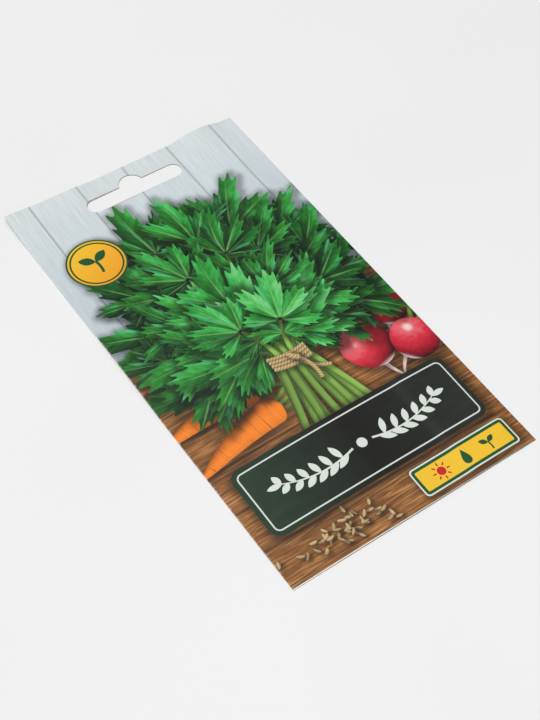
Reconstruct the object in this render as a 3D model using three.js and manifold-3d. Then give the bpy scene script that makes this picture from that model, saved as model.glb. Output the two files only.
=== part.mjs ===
// Printed paper seed packet, lying on its back.
// One sheet is folded into a flat sleeve, lapped and glued down the back, glued shut near both ends
// and punched with a hanging slot. The seeds inside swell it a little.
// Millimetres. Origin on the table under the packet's middle, +X across, +Y to the slot, +Z up.

import * as THREE from "three";
import { mergeVertices } from "three/addons/utils/BufferGeometryUtils.js";
import Module from "manifold-3d";

const wasm = await Module();
wasm.setup();

// Packet and paper
const WIDTH = 80;
const LENGTH = 145;
const PAPER = 0.15;
const PLY_GAP = 0.2; // clear space between front and back where they are glued
const GLUE_CLEARANCE = 0.03; // left between a glue line and the paper on either side of it

// Lap on the back: the flap from the left fold ends inside the flap from the right fold
const INNER_FLAP_EDGE = 33;
const OUTER_FLAP_EDGE = 23;
const LAP_GAP = 0.16;
const LAP_SLOPE = 4; // width over which the paper climbs on to the lap
const LAP_LEAD = 1; // how much sooner the front climbs than the flap under it

// Glue lines
const BOTTOM_GLUE = { from: -70.5, to: -67 };
const TOP_GLUE = { from: 51.5, to: 55.5 };
const GLUE_SIDE_INSET = 1.5;
const SEAM_GLUE_INSET = 1;

// Hanging slot: a long hole with round ends and a round notch in the middle of its upper side
const SLOT_X = -1.1;
const SLOT_Y = 62.8;
const SLOT_LENGTH = 32.6;
const SLOT_HEIGHT = 5.4;
const NOTCH_RADIUS = 4;
const NOTCH_RISE = 3.1;

// How far the paper is from flat
const SWELL = 1.8; // front over the seeds
const SWELL_SKEW = 1.4; // above 1 puts the fullest place nearer the bottom
const LIP_RISE = 0.3; // front edge standing off the back one below the bottom glue
const HEADER_START = 46; // the header above this is waved
const HEADER_WAVES = [
  { from: 17, to: 27, height: 1.2 },
  { from: 28, to: 36, height: -1.2 },
  { from: -10, to: -19, height: 0.7 },
  { from: -27, to: -40, height: 0.9 },
];
const LEFT_LIFT = { from: 12, height: 0.8, middle: 12, reach: 32 }; // left fold off the table

// Seeds
const SEED_COUNT = 90;
const SEED_LENGTH = 2.8;
const SEED_WIDTH = 1.3;
const SEED_THICKNESS = 1.2;
const BED = { x: 16, y: 25, middle: -15, clearance: 0.1 };
const BED_CORE_THICKNESS = 0.5; // the seeds stand out of this thin core, which joins them

// Worked out from the dimensions above
const FOLD_RADIUS = (PAPER + PLY_GAP) / 2; // to the middle of the paper
const FOLD_X = WIDTH / 2 - FOLD_RADIUS - PAPER / 2;
const LAP_STEP = PAPER + LAP_GAP;
const HALF_TURN = Math.PI;
const GOLDEN_ANGLE = Math.PI * (3 - Math.sqrt(5));

// Smooth rise from 0 to 1 as value goes from one end to the other, in either direction
function rise(value, from, to) {
  const t = THREE.MathUtils.clamp((value - from) / (to - from), 0, 1);
  return t * t * (3 - 2 * t);
}

// Numbers from one end to the other in equal steps
function spread(from, to, steps) {
  return Array.from({ length: steps + 1 }, (_, i) => THREE.MathUtils.lerp(from, to, i / steps));
}

// Lift of the whole packet off the table
function lift(x, y) {
  const header = THREE.MathUtils.clamp((y - HEADER_START) / (LENGTH / 2 - HEADER_START), 0, 1);
  const wave = HEADER_WAVES.reduce((sum, w) => sum + w.height * rise(x, w.from, w.to), 0);
  const side = THREE.MathUtils.clamp((-x - LEFT_LIFT.from) / (WIDTH / 2 - LEFT_LIFT.from), 0, 1);
  const along = THREE.MathUtils.clamp((y - LEFT_LIFT.middle) / LEFT_LIFT.reach, -1, 1);
  const left = LEFT_LIFT.height * side ** 2 * Math.cos((along * Math.PI) / 2) ** 2;
  return wave * header ** 2 + left;
}

// Rise of the inner flap over the outer one
function lapRise(x) {
  const end = OUTER_FLAP_EDGE - LAP_LEAD;
  return LAP_STEP * rise(x, end - LAP_SLOPE, end);
}

// Rise of the front over the lap
function ridgeRise(x) {
  const end = OUTER_FLAP_EDGE - 2 * LAP_LEAD;
  const fall = INNER_FLAP_EDGE + LAP_LEAD / 2;
  return LAP_STEP * rise(x, end - LAP_SLOPE, end) * (1 - rise(x, fall, fall + LAP_SLOPE));
}

// Swelling of the front over the seeds, none at the folds and the glue lines
function swell(x, y) {
  const along = THREE.MathUtils.clamp((y - BOTTOM_GLUE.to) / (TOP_GLUE.from - BOTTOM_GLUE.to), 0, 1);
  const fullest = 1 / (1 + SWELL_SKEW);
  const profile = (t) => t * (1 - t) ** SWELL_SKEW;
  return SWELL * (1 - (x / FOLD_X) ** 2) * (profile(along) / profile(fullest));
}

// Front edge standing open below the bottom glue
function lip(x, y) {
  const out = THREE.MathUtils.clamp((BOTTOM_GLUE.from - y) / (LENGTH / 2 + BOTTOM_GLUE.from), 0, 1);
  return LIP_RISE * out ** 2 * (1 - (x / FOLD_X) ** 2);
}

// Height of the middle of the paper in each ply
const backHeight = (x, y) => PAPER / 2 + lapRise(x) + lift(x, y);
const outerFlapHeight = (x, y) => PAPER / 2 + lift(x, y);
const frontHeight = (x, y) => PAPER * 1.5 + PLY_GAP + ridgeRise(x) + swell(x, y) + lip(x, y) + lift(x, y);
const foldHeight = (x, y) => PAPER / 2 + FOLD_RADIUS + lift(x, y);

// Places across the packet where the paper is divided, closer together where it climbs on the lap
const climb = OUTER_FLAP_EDGE - 2 * LAP_LEAD - LAP_SLOPE;
const leftPlaces = spread(-FOLD_X, climb - LAP_LEAD, 12);
const climbPlaces = spread(climb, climb + LAP_SLOPE + LAP_LEAD, 5);
const seamPlaces = spread(OUTER_FLAP_EDGE + SEAM_GLUE_INSET, INNER_FLAP_EDGE - SEAM_GLUE_INSET, 4);
const lapPlaces = [OUTER_FLAP_EDGE, ...seamPlaces, INNER_FLAP_EDGE];
const innerPlaces = [...leftPlaces, ...climbPlaces, ...lapPlaces];
const fallPlaces = spread(INNER_FLAP_EDGE + LAP_LEAD / 2, INNER_FLAP_EDGE + LAP_LEAD / 2 + LAP_SLOPE, 4);
const frontPlaces = [...innerPlaces, ...fallPlaces, FOLD_X];

// Places along the packet where the paper is divided
const alongPlaces = [
  ...spread(-LENGTH / 2, BOTTOM_GLUE.from, 2),
  ...spread(BOTTOM_GLUE.to, TOP_GLUE.from, 9),
  ...spread(TOP_GLUE.to, LENGTH / 2, 5),
];

// A station is one line along the sheet: a centre line, and a direction out of the packet
function flatStation(x, height, up) {
  return { x, height, radius: 0, outX: 0, outZ: up };
}

function foldStations(x, from, to) {
  const angles = spread(from, to, 4).slice(1, -1);
  return angles.map((a) => ({ x, height: foldHeight, radius: FOLD_RADIUS, outX: Math.cos(a), outZ: Math.sin(a) }));
}

function sheetStations() {
  const innerFlap = [...innerPlaces].reverse().map((x) => flatStation(x, backHeight, -1));
  const leftFold = foldStations(-FOLD_X, 1.5 * HALF_TURN, 0.5 * HALF_TURN);
  const front = frontPlaces.map((x) => flatStation(x, frontHeight, 1));
  const rightFold = foldStations(FOLD_X, 0.5 * HALF_TURN, -0.5 * HALF_TURN);
  const outerPlaces = [FOLD_X, ...[...lapPlaces, ...fallPlaces].reverse()];
  const outerFlap = outerPlaces.map((x) => flatStation(x, outerFlapHeight, -1));
  return [...innerFlap, ...leftFold, ...front, ...rightFold, ...outerFlap];
}

// Closed skin between two grids of points that have the same rows and columns
function slab(topGrid, bottomGrid) {
  const rows = topGrid.length;
  const columns = topGrid[0].length;
  const positions = [...topGrid.flat(2), ...bottomGrid.flat(2)];
  const top = (i, j) => i * columns + j;
  const bottom = (i, j) => rows * columns + i * columns + j;
  const triangles = [];
  const quad = (a, b, c, d) => triangles.push(a, b, c, a, c, d);
  for (let i = 0; i < rows - 1; i += 1) {
    for (let j = 0; j < columns - 1; j += 1) {
      quad(top(i, j), top(i + 1, j), top(i + 1, j + 1), top(i, j + 1));
      quad(bottom(i, j), bottom(i, j + 1), bottom(i + 1, j + 1), bottom(i + 1, j));
    }
  }
  for (let i = 0; i < rows - 1; i += 1) {
    quad(top(i, 0), bottom(i, 0), bottom(i + 1, 0), top(i + 1, 0));
    quad(top(i + 1, columns - 1), bottom(i + 1, columns - 1), bottom(i, columns - 1), top(i, columns - 1));
  }
  for (let j = 0; j < columns - 1; j += 1) {
    quad(top(0, j + 1), bottom(0, j + 1), bottom(0, j), top(0, j));
    quad(top(rows - 1, j), bottom(rows - 1, j), bottom(rows - 1, j + 1), top(rows - 1, j + 1));
  }
  const geometry = new THREE.BufferGeometry();
  geometry.setAttribute("position", new THREE.Float32BufferAttribute(positions, 3));
  geometry.setIndex(triangles);
  return geometry;
}

// The same, for a layer given by the heights of its two faces
function layer(xs, ys, topHeight, bottomHeight) {
  const grid = (height) => xs.map((x) => ys.map((y) => [x, y, height(x, y)]));
  return slab(grid(topHeight), grid(bottomHeight));
}

// Between three.js geometry and solids that can be joined and cut
function solidFrom(geometry) {
  const bare = geometry.clone();
  bare.deleteAttribute("normal");
  bare.deleteAttribute("uv");
  const merged = mergeVertices(bare);
  const vertProperties = new Float32Array(merged.attributes.position.array);
  const triVerts = new Uint32Array(merged.index.array);
  return new wasm.Manifold(new wasm.Mesh({ numProp: 3, vertProperties, triVerts }));
}

function geometryFrom(solid) {
  const mesh = solid.getMesh();
  const geometry = new THREE.BufferGeometry();
  geometry.setAttribute("position", new THREE.Float32BufferAttribute(mesh.vertProperties, mesh.numProp));
  geometry.setIndex([...mesh.triVerts]);
  geometry.computeVertexNormals();
  return geometry;
}

function slotPunch() {
  const half = SLOT_HEIGHT / 2;
  const endCentre = SLOT_LENGTH / 2 - half;
  const notchCentre = half + NOTCH_RISE - NOTCH_RADIUS;
  const notchStart = Math.asin((half - notchCentre) / NOTCH_RADIUS);
  const outline = new THREE.Shape();
  outline.absarc(endCentre, 0, half, -HALF_TURN / 2, HALF_TURN / 2, false);
  outline.absarc(0, notchCentre, NOTCH_RADIUS, notchStart, HALF_TURN - notchStart, false);
  outline.absarc(-endCentre, 0, half, HALF_TURN / 2, 1.5 * HALF_TURN, false);
  outline.closePath();
  const depth = 10;
  const punch = new THREE.ExtrudeGeometry(outline, { depth, bevelEnabled: false, curveSegments: 10 });
  return punch.translate(SLOT_X, SLOT_Y, -depth / 2);
}

function sleeveGeometry() {
  const grid = (offset) =>
    sheetStations().map((s) =>
      alongPlaces.map((y) => {
        const out = s.radius + offset;
        return [s.x + s.outX * out, y, s.height(s.x, y) + s.outZ * out];
      }),
    );
  const sheet = slab(grid(PAPER / 2), grid(-PAPER / 2));
  return geometryFrom(solidFrom(sheet).subtract(solidFrom(slotPunch())));
}

// Glue between front and back, thicker where it steps down off the end of the inner flap
function crossGlueGeometry(line) {
  const stepX = INNER_FLAP_EDGE + LAP_LEAD / 4;
  const inside = (x) => Math.abs(x) < FOLD_X - GLUE_SIDE_INSET;
  const ends = FOLD_X - GLUE_SIDE_INSET;
  const xs = [-ends, ...frontPlaces.filter(inside), stepX, ends].sort((a, b) => a - b);
  const ys = [line.from, line.to];
  const paperBelow = (x, y) => (x < stepX ? backHeight(x, y) : outerFlapHeight(x, y));
  const top = (x, y) => frontHeight(x, y) - PAPER / 2 - GLUE_CLEARANCE;
  const bottom = (x, y) => paperBelow(x, y) + PAPER / 2 + GLUE_CLEARANCE;
  return layer(xs, ys, top, bottom);
}

// Glue between the two back flaps
function seamGlueGeometry() {
  const top = (x, y) => backHeight(x, y) - PAPER / 2 - GLUE_CLEARANCE;
  const bottom = (x, y) => outerFlapHeight(x, y) + PAPER / 2 + GLUE_CLEARANCE;
  return layer(seamPlaces, alongPlaces.slice(1, -1), top, bottom);
}

// One layer of seeds in the fullest part of the packet, spaced by the golden angle
function seedsGeometry() {
  const middleHeight = PAPER + BED.clearance + SEED_THICKNESS / 2;
  const core = new THREE.SphereGeometry(1, 24, 6);
  core.scale(BED.x, BED.y, BED_CORE_THICKNESS / 2);
  core.translate(0, BED.middle, middleHeight);
  let bed = solidFrom(core);
  for (let i = 0; i < SEED_COUNT; i += 1) {
    const distance = Math.sqrt((i + 0.5) / SEED_COUNT);
    const angle = i * GOLDEN_ANGLE;
    const seed = new THREE.SphereGeometry(1, 6, 2);
    seed.scale(SEED_WIDTH / 2, SEED_LENGTH / 2, SEED_THICKNESS / 2);
    seed.rotateZ(angle * distance * SEED_COUNT);
    const x = BED.x * distance * Math.cos(angle);
    const y = BED.middle + BED.y * distance * Math.sin(angle);
    seed.translate(x, y, middleHeight);
    bed = bed.add(solidFrom(seed));
  }
  return geometryFrom(bed);
}

function part(name, geometry, colour, roughness) {
  const material = new THREE.MeshStandardMaterial({ color: colour, roughness, metalness: 0 });
  const mesh = new THREE.Mesh(geometry, material);
  mesh.name = name;
  return mesh;
}

const packet = new THREE.Group();
packet.add(part("paper_sleeve", sleeveGeometry(), 0x5f8f3c, 0.4));
packet.add(part("seam_glue", seamGlueGeometry(), 0xe6dfc6, 0.5));
packet.add(part("bottom_glue", crossGlueGeometry(BOTTOM_GLUE), 0xe6dfc6, 0.5));
packet.add(part("top_glue", crossGlueGeometry(TOP_GLUE), 0xe6dfc6, 0.5));
packet.add(part("seeds", seedsGeometry(), 0x8b7450, 0.8));

export default packet;
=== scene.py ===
import math
from dataclasses import dataclass
from typing import Callable

import bpy
import numpy as np
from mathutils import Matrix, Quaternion, Vector
from mathutils.geometry import delaunay_2d_cdt


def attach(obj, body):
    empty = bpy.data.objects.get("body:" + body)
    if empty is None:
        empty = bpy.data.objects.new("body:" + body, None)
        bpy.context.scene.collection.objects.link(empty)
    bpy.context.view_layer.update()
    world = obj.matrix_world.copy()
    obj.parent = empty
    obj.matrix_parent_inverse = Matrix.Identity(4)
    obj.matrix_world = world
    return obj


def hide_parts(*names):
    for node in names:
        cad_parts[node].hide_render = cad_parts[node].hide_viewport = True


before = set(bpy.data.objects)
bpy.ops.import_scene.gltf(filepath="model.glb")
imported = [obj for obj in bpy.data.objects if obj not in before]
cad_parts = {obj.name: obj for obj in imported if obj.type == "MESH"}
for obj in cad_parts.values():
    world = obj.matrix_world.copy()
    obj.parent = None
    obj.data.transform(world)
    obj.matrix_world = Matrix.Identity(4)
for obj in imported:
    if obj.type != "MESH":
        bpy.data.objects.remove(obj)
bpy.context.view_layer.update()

# Everything is worked out in millimetres, the same as in the packet's solids, and made in metres
MM = 0.001

# Packet and paper
WIDTH = 80
LENGTH = 145
PAPER = 0.15
PLY_GAP = 0.2
FOLD_RADIUS = (PAPER + PLY_GAP) / 2
FOLD_X = WIDTH / 2 - FOLD_RADIUS - PAPER / 2
FOLD_ARC = math.pi * FOLD_RADIUS
TOP = LENGTH / 2
BOTTOM = -LENGTH / 2

# Lap on the back
INNER_FLAP_EDGE = 33
OUTER_FLAP_EDGE = 23
LAP_GAP = 0.16
LAP_STEP = PAPER + LAP_GAP
LAP_SLOPE = 4
LAP_LEAD = 1

# Pouch between the glue lines, and the unglued lip at the bottom
POUCH_BOTTOM = -67
POUCH_TOP = 51.5
LIP_START = -70.5
LIP_RISE = 0.3

# Hanging slot
SLOT_X = -1.1
SLOT_Y = 62.8
SLOT_LENGTH = 32.6
SLOT_HEIGHT = 5.4
NOTCH_RADIUS = 4
NOTCH_RISE = 3.1

# How far the paper is from flat
SWELL = 1.8
SWELL_SKEW = 1.4
SWELL_SOFTNESS = 0.05  # share of the pouch's length over which it starts to swell
HEADER_START = 46
HEADER_WAVES = (  # start, end and height across the packet
    (17, 27, 1.2),
    (28, 36, -1.2),
    (-10, -19, 0.7),
    (-27, -40, 0.9),
)
LEFT_LIFT_START = 12
LEFT_LIFT = 0.8
LEFT_LIFT_MIDDLE = 12
LEFT_LIFT_REACH = 32

# How finely the sheet is divided
FRONT_GRID = 1.0
BACK_GRID = 2.0
INSIDE_GRID = 4.0
EDGE_STEP = 1.0
FOLD_STEPS = 6
SLOT_STEPS = 16
CORNER_STEPS = 5
SAME_POINT = 1e-5  # points nearer than this are one


def part_way(value, start, end):
    """How far value is from start to end, kept between 0 and 1."""
    return np.clip((value - start) / (end - start), 0, 1)


def rise(value, start, end):
    """Smooth rise from 0 to 1 as value goes from start to end."""
    t = part_way(value, start, end)
    return t * t * (3 - 2 * t)


def lift(x, y):
    """Height of the whole packet off the table."""
    header = part_way(y, HEADER_START, TOP)
    wave = sum(height * rise(x, start, end) for start, end, height in HEADER_WAVES)
    side = part_way(-x, LEFT_LIFT_START, WIDTH / 2)
    along = np.clip((y - LEFT_LIFT_MIDDLE) / LEFT_LIFT_REACH, -1, 1)
    return wave * header**2 + LEFT_LIFT * side**2 * np.cos(along * math.pi / 2) ** 2


def lap_rise(x):
    """Rise of the inner flap over the outer one."""
    end = OUTER_FLAP_EDGE - LAP_LEAD
    return LAP_STEP * rise(x, end - LAP_SLOPE, end)


def ridge_rise(x):
    """Rise of the front over the lap."""
    end = OUTER_FLAP_EDGE - 2 * LAP_LEAD
    fall = INNER_FLAP_EDGE + LAP_LEAD / 2
    return LAP_STEP * rise(x, end - LAP_SLOPE, end) * (1 - rise(x, fall, fall + LAP_SLOPE))


def crown(x):
    """Arch across the packet: 1 in its middle and 0 at the folds."""
    return 1 - (x / FOLD_X) ** 2


def swell(x, y):
    """Swelling of the front over the seeds."""
    t = part_way(y, POUCH_BOTTOM, POUCH_TOP)
    t = t * t / (t + SWELL_SOFTNESS) * (1 + SWELL_SOFTNESS)
    fullest = 1 / (1 + SWELL_SKEW)
    profile = t * (1 - t) ** SWELL_SKEW / (fullest * (1 - fullest) ** SWELL_SKEW)
    return SWELL * crown(x) * profile


def lip(x, y):
    """Front edge standing open below the bottom glue."""
    return LIP_RISE * crown(x) * part_way(y, LIP_START, BOTTOM) ** 2


def front_height(x, y):
    return PAPER * 1.5 + PLY_GAP + ridge_rise(x) + swell(x, y) + lip(x, y) + lift(x, y)


def sheet_to_packet(sheet, out):
    """Places points of the flat sheet on the folded packet, a little outside or inside the paper's middle.

    Across the sheet, 0 is the middle of the front. The inner flap is far to the left, the outer flap to the
    right."""
    u, y = sheet.T
    side = np.sign(u)
    past_fold = np.abs(u) - FOLD_X
    angle = math.pi / 2 - np.clip(past_fold / FOLD_RADIUS, 0, math.pi)
    back_x = side * (FOLD_X - (past_fold - FOLD_ARC))
    fold_x = side * (FOLD_X + (FOLD_RADIUS + out) * np.cos(angle))
    fold_z = PAPER / 2 + FOLD_RADIUS + (FOLD_RADIUS + out) * np.sin(angle) + lift(side * FOLD_X, y)
    back_z = PAPER / 2 - out + np.where(side < 0, lap_rise(back_x), 0) + lift(back_x, y)
    on_front = past_fold <= 0
    on_back = past_fold >= FOLD_ARC
    x = np.select([on_front, on_back], [u, back_x], fold_x)
    z = np.select([on_front, on_back], [front_height(u, y) + out, back_z], fold_z)
    return np.stack([x, y, z], axis=1)


@dataclass
class Panel:
    """A stretch of the sheet. Its own x is 0 in the packet's middle and grows to the right, as seen from
    outside."""

    shift: float
    low: float
    high: float

    def to_sheet(self, points):
        return points + (self.shift, 0)

    def from_sheet(self, sheet):
        return sheet - (self.shift, 0)


FRONT_END = FOLD_X + FOLD_ARC
SHEET_LEFT = -FRONT_END - FOLD_X - INNER_FLAP_EDGE
SHEET_RIGHT = FRONT_END + FOLD_X - OUTER_FLAP_EDGE
FRONT = Panel(0, -FRONT_END, FRONT_END)
INNER_FLAP = Panel(-FRONT_END - FOLD_X, SHEET_LEFT, -FRONT_END)
OUTER_FLAP = Panel(FRONT_END + FOLD_X, FRONT_END, SHEET_RIGHT)


def colour(red, green, blue):
    """Linear colour from the usual 0 to 255 values."""
    parts = np.array([red, green, blue]) / 255
    return np.where(parts <= 0.04045, parts / 12.92, ((parts + 0.055) / 1.055) ** 2.4)


# Colours of the print
PAPER_WHITE = colour(240, 239, 235)
PALE = colour(216, 223, 215)
CREAM = colour(238, 233, 214)
# Name board: nearly black in the middle; its lighter, greener left end and lighter right end are painted
# sheen of the coated paper's gloss
SLATE_WITH_SHEEN = (colour(31, 55, 36), colour(8, 8, 4), colour(38, 44, 37))  # from left to right
YELLOW = colour(240, 194, 46)
AMBER = colour(238, 158, 34)
DEEP_GREEN = colour(18, 82, 40)
SOFT_GREEN = colour(120, 150, 116)
SHADE_GREEN = colour(9, 34, 12)
STALK_GREEN = colour(140, 184, 82)
RED = colour(196, 30, 44)
TAIL_PINK = colour(236, 206, 200)
ORANGE = colour(236, 128, 36)
TWINE = colour(206, 176, 122)
WALL_PALE = colour(214, 222, 224)
WALL_BLUE = colour(186, 200, 208)
WOOD = colour(128, 86, 46)
SEED_BROWN = colour(196, 168, 120)


@dataclass
class Motif:
    """One printed shape. Later motifs lie over earlier ones."""

    panel: Panel
    outline: np.ndarray
    tint: object  # three numbers, a colour in most inks, or a function that gives them for each point
    ink: str = "plain"
    place: Callable = None  # gives a point's place in the motif's own coordinates
    shadow: float = 0  # how dark a shadow is printed around it
    reach: float = 2.2  # how far the shadow goes


# Plain shapes
def compass(bearing):
    """Unit vectors at bearings in degrees, counted clockwise from the packet's length."""
    angle = np.radians(bearing)
    return np.stack([np.sin(angle), np.cos(angle)], axis=-1)


def rotated(points, bearing):
    """Points turned clockwise."""
    sine, cosine = compass(bearing)
    return points @ np.array([[cosine, -sine], [sine, cosine]])


def arc(centre, radius, first, last, steps):
    """Points of a circle between two angles in degrees, counted anticlockwise from straight right."""
    angle = np.radians(np.linspace(first, last, steps + 1))
    return radius * np.stack([np.cos(angle), np.sin(angle)], axis=1) + centre


def circle(centre, radius, steps=48):
    return arc(centre, radius, 0, 360, steps)[:-1]


def rectangle(left, bottom, right, top):
    return np.array([(left, bottom), (right, bottom), (right, top), (left, top)], float)


def inset(box, amount):
    left, bottom, right, top = box
    return (left + amount, bottom + amount, right - amount, top - amount)


def rounded_rectangle(box, radius):
    centres = rectangle(*inset(box, radius))
    corners = [arc(c, radius, 90 * k, 90 * k + 90, CORNER_STEPS) for k, c in enumerate(centres, start=2)]
    return np.concatenate(corners)


def outline_frame(panel, box, radius, line, tint):
    """A thin line that follows a rounded rectangle."""
    ring = rounded_rectangle(box, radius)
    hole = rounded_rectangle(inset(box, line), radius - line)
    return Motif(panel, np.concatenate([ring, ring[:1], hole[:1], hole[::-1]]), tint)


def almond(base, bearing, length, half_width, steps=8):
    """Plain pointed leaf, for pictograms and ornaments."""
    t = np.linspace(0, 1, steps + 1)
    width = half_width * np.sin(math.pi * t) ** 0.8
    right = np.stack([width, t * length], axis=1)
    left = right[-2:0:-1] * (-1, 1)
    return rotated(np.concatenate([right, left]), bearing) + base


def cut_corners(outline):
    """Rounds an outline by cutting a quarter off each end of its sides."""
    ahead = np.roll(outline, -1, axis=0)
    return np.stack([0.75 * outline + 0.25 * ahead, 0.25 * outline + 0.75 * ahead], axis=1).reshape(-1, 2)


def arc_between(start, end, sag, steps=8):
    """Points of a shallow arc; sag is how far its middle stands to the right of the straight line."""
    start, end = np.array(start, float), np.array(end, float)
    run = end - start
    side = np.array([run[1], -run[0]]) / np.linalg.norm(run)
    t = np.linspace(0, 1, steps + 1)[:, None]
    return start + t * run + 4 * t * (1 - t) * sag * side


def nearest_on(path, points):
    """Where on a path each point is nearest: the side's number, the share along that side, and the gap."""
    sides = np.diff(path, axis=0)
    away = points[:, None] - path[:-1]
    share = (away * sides).sum(axis=2) / np.maximum((sides**2).sum(axis=1), SAME_POINT**2)
    share = np.clip(share, 0, 1)
    gap = away - share[:, :, None] * sides
    side = (gap**2).sum(axis=2).argmin(axis=1)
    row = np.arange(len(points))
    return side, share[row, side], gap[row, side]


NARROWEST = 0.05


def ribbon(panel, curve, half_widths, tint, ink="plain", shadow=0.0, reach=1.6):
    """A strip along a curve, with coordinates along it in millimetres and across it from -1 to 1."""
    curve = np.asarray(curve, float)
    half_widths = np.broadcast_to(np.asarray(half_widths, float), len(curve))
    run = np.gradient(curve, axis=0)
    run /= np.linalg.norm(run, axis=1)[:, None]
    normal = np.stack([run[:, 1], -run[:, 0]], axis=1)
    edge = normal * half_widths[:, None]
    outline = np.concatenate([curve + edge, (curve - edge)[::-1]])
    marks = np.concatenate([[0], np.cumsum(np.linalg.norm(np.diff(curve, axis=0), axis=1))])

    def place(points):
        side, share, gap = nearest_on(curve, points)
        along = marks[side] + share * (marks[side + 1] - marks[side])
        width = np.maximum(np.interp(along, marks, half_widths), NARROWEST)
        sign = np.sign((gap * normal[side]).sum(axis=1))
        return np.stack([along, sign * np.hypot(*gap.T) / width], axis=1)

    return Motif(panel, outline, tint, ink, place, shadow, reach)


# Leaflets: three toothed lobes
LOBE_ANGLE = 44
LOBES = ((-LOBE_ANGLE, 0.8), (0, 1.0), (LOBE_ANGLE, 0.8))  # bearing and length
TEETH = ((-1.5, 0.72), (-0.6, 0.93), (0.1, 1.0), (0.9, 0.9), (1.6, 0.7))  # place on a lobe, and length
TOOTH_ANGLE = 11
TOOTH_NOTCH = 0.8
LOBE_CUT = 0.4
LEAF_SHOULDER = (62, 0.4)  # bearing and length
LEAF_WIDTH = (0.62, 1.0)
LEAF_BEND = 0.3
LEAF_VARIETY = 0.12  # how much lighter or darker a leaflet may be


def leaflet_outline(rng):
    """Unit leaflet that grows along its own y from 0."""
    shoulder_bearing, shoulder_length = LEAF_SHOULDER
    polar = [(0, 0), (-shoulder_bearing, shoulder_length)]
    for direction, length in LOBES:
        lobe = length * rng.uniform(0.9, 1.05)
        tips = []
        for k, reach in TEETH:
            bearing = direction + TOOTH_ANGLE * (k + rng.uniform(-0.2, 0.2))
            tips.append((bearing, lobe * reach * rng.uniform(0.94, 1.05)))
        for tip, following in zip(tips, tips[1:]):
            polar.append(tip)
            polar.append((0.45 * tip[0] + 0.55 * following[0], TOOTH_NOTCH * min(tip[1], following[1])))
        polar.append(tips[-1])
        if direction < LOBE_ANGLE:
            polar.append((direction + LOBE_ANGLE / 2, LOBE_CUT * rng.uniform(0.85, 1.15)))
    polar.append((shoulder_bearing, shoulder_length))
    bearing, distance = np.array(polar).T
    return cut_corners(cut_corners(distance[:, None] * compass(bearing)))


def leaflet(rng, base, bearing, length, brightness):
    """One leaflet of the herb, a little bent and narrowed."""
    width = rng.uniform(*LEAF_WIDTH)
    bend = rng.uniform(-LEAF_BEND, LEAF_BEND)
    unit = leaflet_outline(rng)
    bent = np.stack([unit[:, 0] * width + bend * unit[:, 1] ** 2, unit[:, 1]], axis=1)

    def place(points):
        local = rotated(points - base, -bearing) / length
        across = (local[:, 0] - bend * local[:, 1] ** 2) / width
        return np.stack([across, local[:, 1]], axis=1)

    light = brightness + rng.uniform(-LEAF_VARIETY, LEAF_VARIETY)
    coolness = rng.uniform(0, 1)
    slant = rng.uniform(0, 1)
    tone = np.array([light, coolness, slant])  # the leaves' ink makes a colour of them
    outline = rotated(bent * length, bearing) + base
    return Motif(FRONT, outline, tone, "leaves", place, shadow=0.55, reach=2.8)


# The picture on the front: a tied bunch of herbs in front of a pale wall, on a table of boards
PRINT_SEED = 7
WALL_FOOT = 4
WALL_BOARD = 16
BOARD_HEIGHT = 12.8
TIE = np.array([0.0, -15.0])
BUNCH_NECK = 5.0
BUNCH_SIDE = 43
BUNCH_HEIGHT = 71
BUNCH_CORE = 0.74  # share of the bunch's reach
BUNCH_CORE_FAN = 80
SPRAY_LAYERS = (  # how many sprays, how far they reach, how wide they fan, how bright they are
    (11, 1.0, 74, 0.3),
    (10, 0.82, 70, 0.39),
    (8, 0.64, 62, 0.49),
    (5, 0.46, 48, 0.58),
)
SPRAY_SIZE = (20, 26)
LEAF_PAIRS = (  # place on the stalk, spread, share of the spray's size, how much lighter
    (-4, 70, 0.55, -0.06),
    (-1, 56, 0.8, 0.0),
)
CUT_STALKS = 13
CUT_STALK_RADIUS = 1.05
CUT_STALK_FAN = 11
CUT_STALK_FALL = (-26, -22)
TWINE_TURNS = 4
TWINE_RADIUS = 0.66
TWINE_PITCH = 1.9 * TWINE_RADIUS
TWINE_TOP = 1.9
KNOT = TIE + (1.2, -0.3)
TWINE_ENDS = (((8.5, -8.2), 1.6), ((3.6, -10.5), -1.2))  # place from the tie, and sag
CARROTS = (  # crown, tip and half width
    ((-13, -18.5), (-44, -20.5), 4.4),
    ((-11, -26.5), (-41, -34), 4.8),
)
RADISHES = (  # middle, radius and bearing
    ((34, -14.5), 6.6, 20),
    ((20.5, -23), 7.8, -14),
    ((34, -28), 7.2, 48),
)


def table_board(top, grain_start, tint):
    """One board, with coordinates along it in millimetres and across it from -1 to 1."""
    half = BOARD_HEIGHT / 2

    def place(points):
        return (points + (grain_start, half - top)) / (1, half)

    return Motif(FRONT, rectangle(-WIDTH, top - BOARD_HEIGHT, WIDTH, top), tint, "boards", place)


def wall_and_table(rng):
    """Pale boards behind, brown boards in front."""

    def wall_tint(points):
        return WALL_PALE + part_way(points[:, 1:], TOP, WALL_FOOT) * (WALL_BLUE - WALL_PALE)

    yield Motif(FRONT, rectangle(-WIDTH, WALL_FOOT, WIDTH, TOP), wall_tint, "wall")
    for top in np.arange(WALL_FOOT, BOTTOM, -BOARD_HEIGHT):
        yield table_board(top, rng.uniform(0, 50), WOOD * rng.uniform(0.8, 1.2))


def bunch_reach(bearing):
    """How far the bunch's leaves reach from the tie."""
    return BUNCH_SIDE + (BUNCH_HEIGHT - BUNCH_SIDE) * np.cos(np.radians(bearing)) ** 2


def bunch_core():
    """Dark depth of the bunch behind its leaves."""
    bearing = np.linspace(-BUNCH_CORE_FAN, BUNCH_CORE_FAN, 60)
    rim = TIE + (BUNCH_CORE * bunch_reach(bearing))[:, None] * compass(bearing)
    return Motif(FRONT, np.concatenate([[TIE], rim]), SHADE_GREEN, shadow=0.3, reach=6)


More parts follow.
